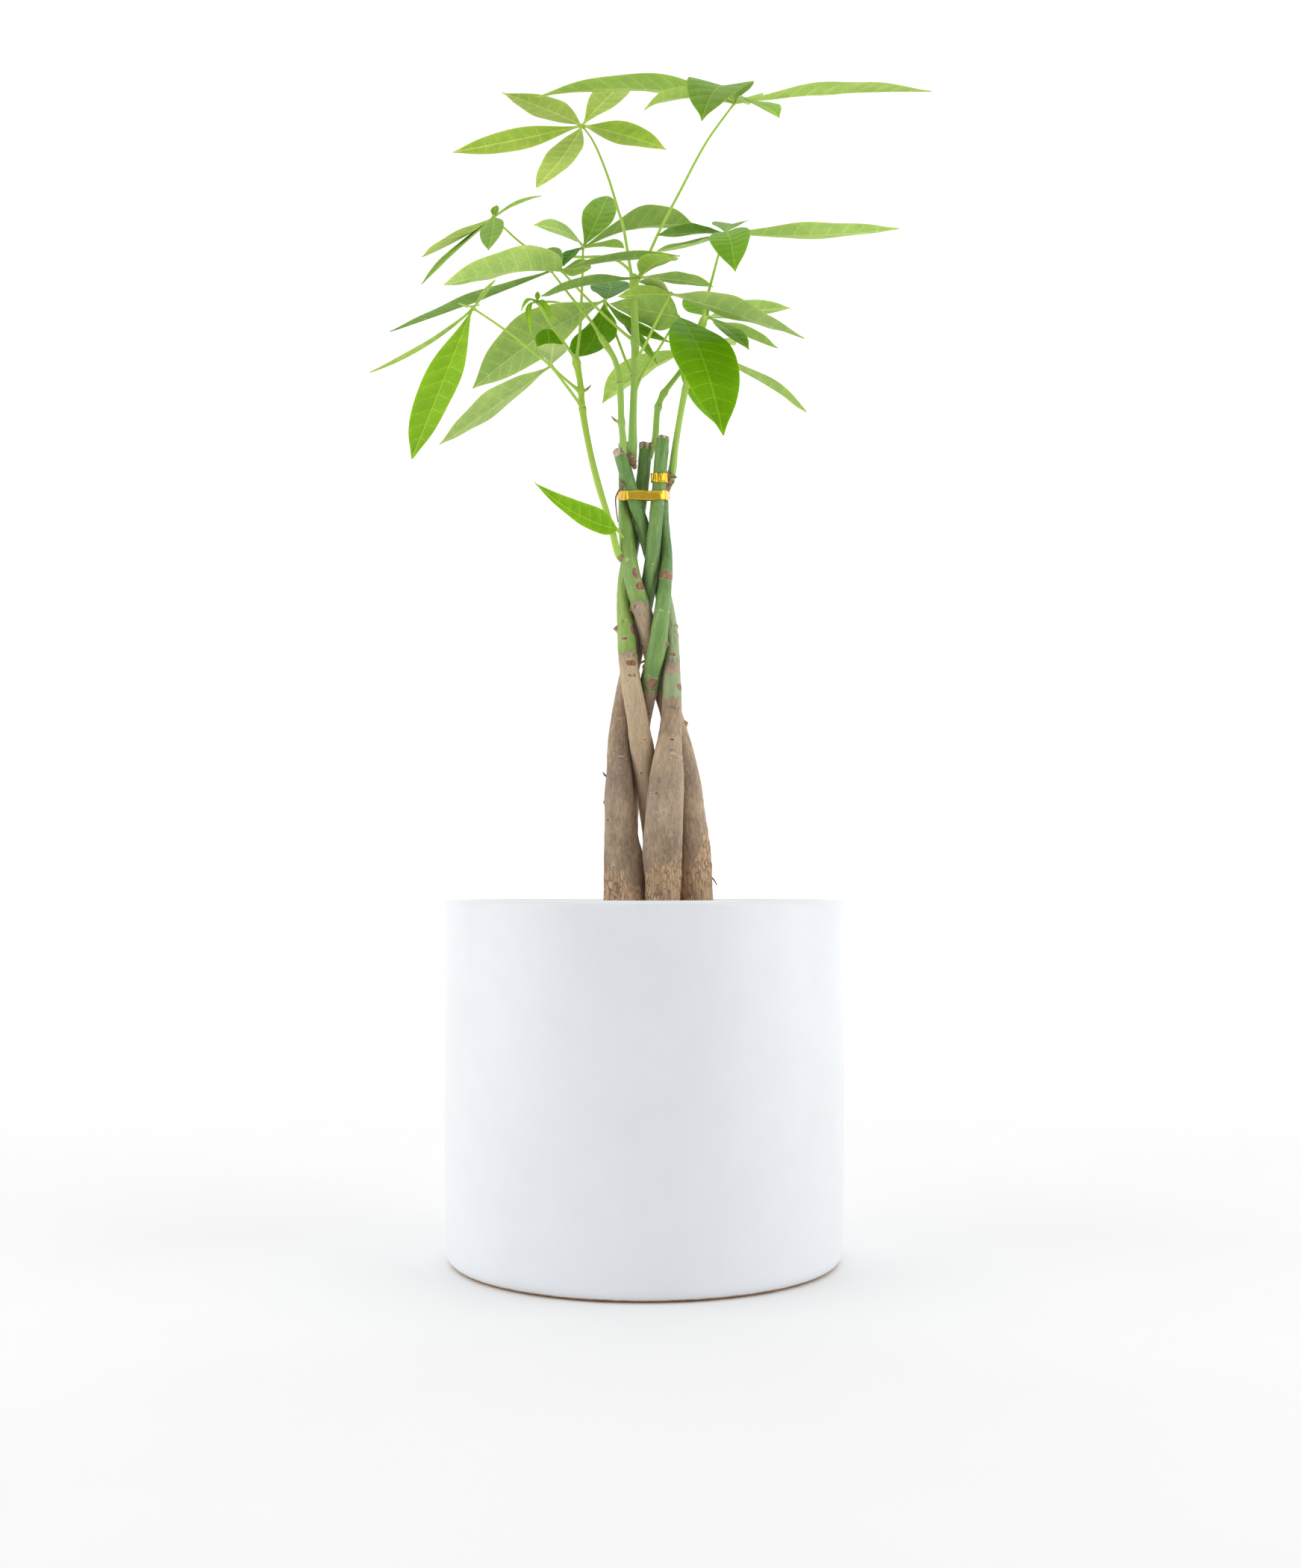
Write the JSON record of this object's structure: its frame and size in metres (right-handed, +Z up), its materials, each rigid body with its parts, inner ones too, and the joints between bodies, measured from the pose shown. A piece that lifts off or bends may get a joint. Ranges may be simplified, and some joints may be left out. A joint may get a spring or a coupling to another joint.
{
  "type": "potted money tree",
  "caption": "Small house plant with braided trunks and palmate leaves standing in a plain white cylinder pot.",
  "frame": {"origin": "centre of the pot's flat underside", "axes": "+Z up along the pot's axis, +X to the right in the picture, +Y away from the viewer"},
  "size_m": [0.2151, 0.152, 0.4758],
  "materials": {
    "glazed_ceramic": "satin white glaze with a bare tan line at the foot",
    "soil": "damp dark potting soil",
    "bark": "grey-brown bark, green towards the top",
    "green_stem": "smooth green stem",
    "leaf": "waxy green above, pale and matt below",
    "gold_foil": "crinkled gold foil"
  },
  "bodies": {
    "root": {"pot": "glazed_ceramic", "soil": "soil", "trunk_1": "bark", "trunk_2": "bark", "trunk_3": "bark", "trunk_4": "bark", "trunk_5": "bark", "shoot_1": "green_stem", "shoot_2": "green_stem", "shoot_3": "green_stem", "shoot_4": "green_stem", "shoot_5": "green_stem", "leaf_a": "leaf", "leaf_b": "leaf", "leaf_c": "leaf", "leaf_d": "leaf", "leaf_e": "leaf", "leaf_f": "leaf", "leaf_g": "leaf", "leaf_h": "leaf", "leaf_j": "leaf", "leaf_k": "leaf", "leaf_m": "leaf", "leaf_n": "leaf", "leaf_p": "leaf", "leaf_q": "leaf", "leaf_u": "leaf", "leaf_v": "leaf", "leaf_w": "leaf", "tie_bundle": "gold_foil", "tie_single": "gold_foil"}
  },
  "joints": []
}
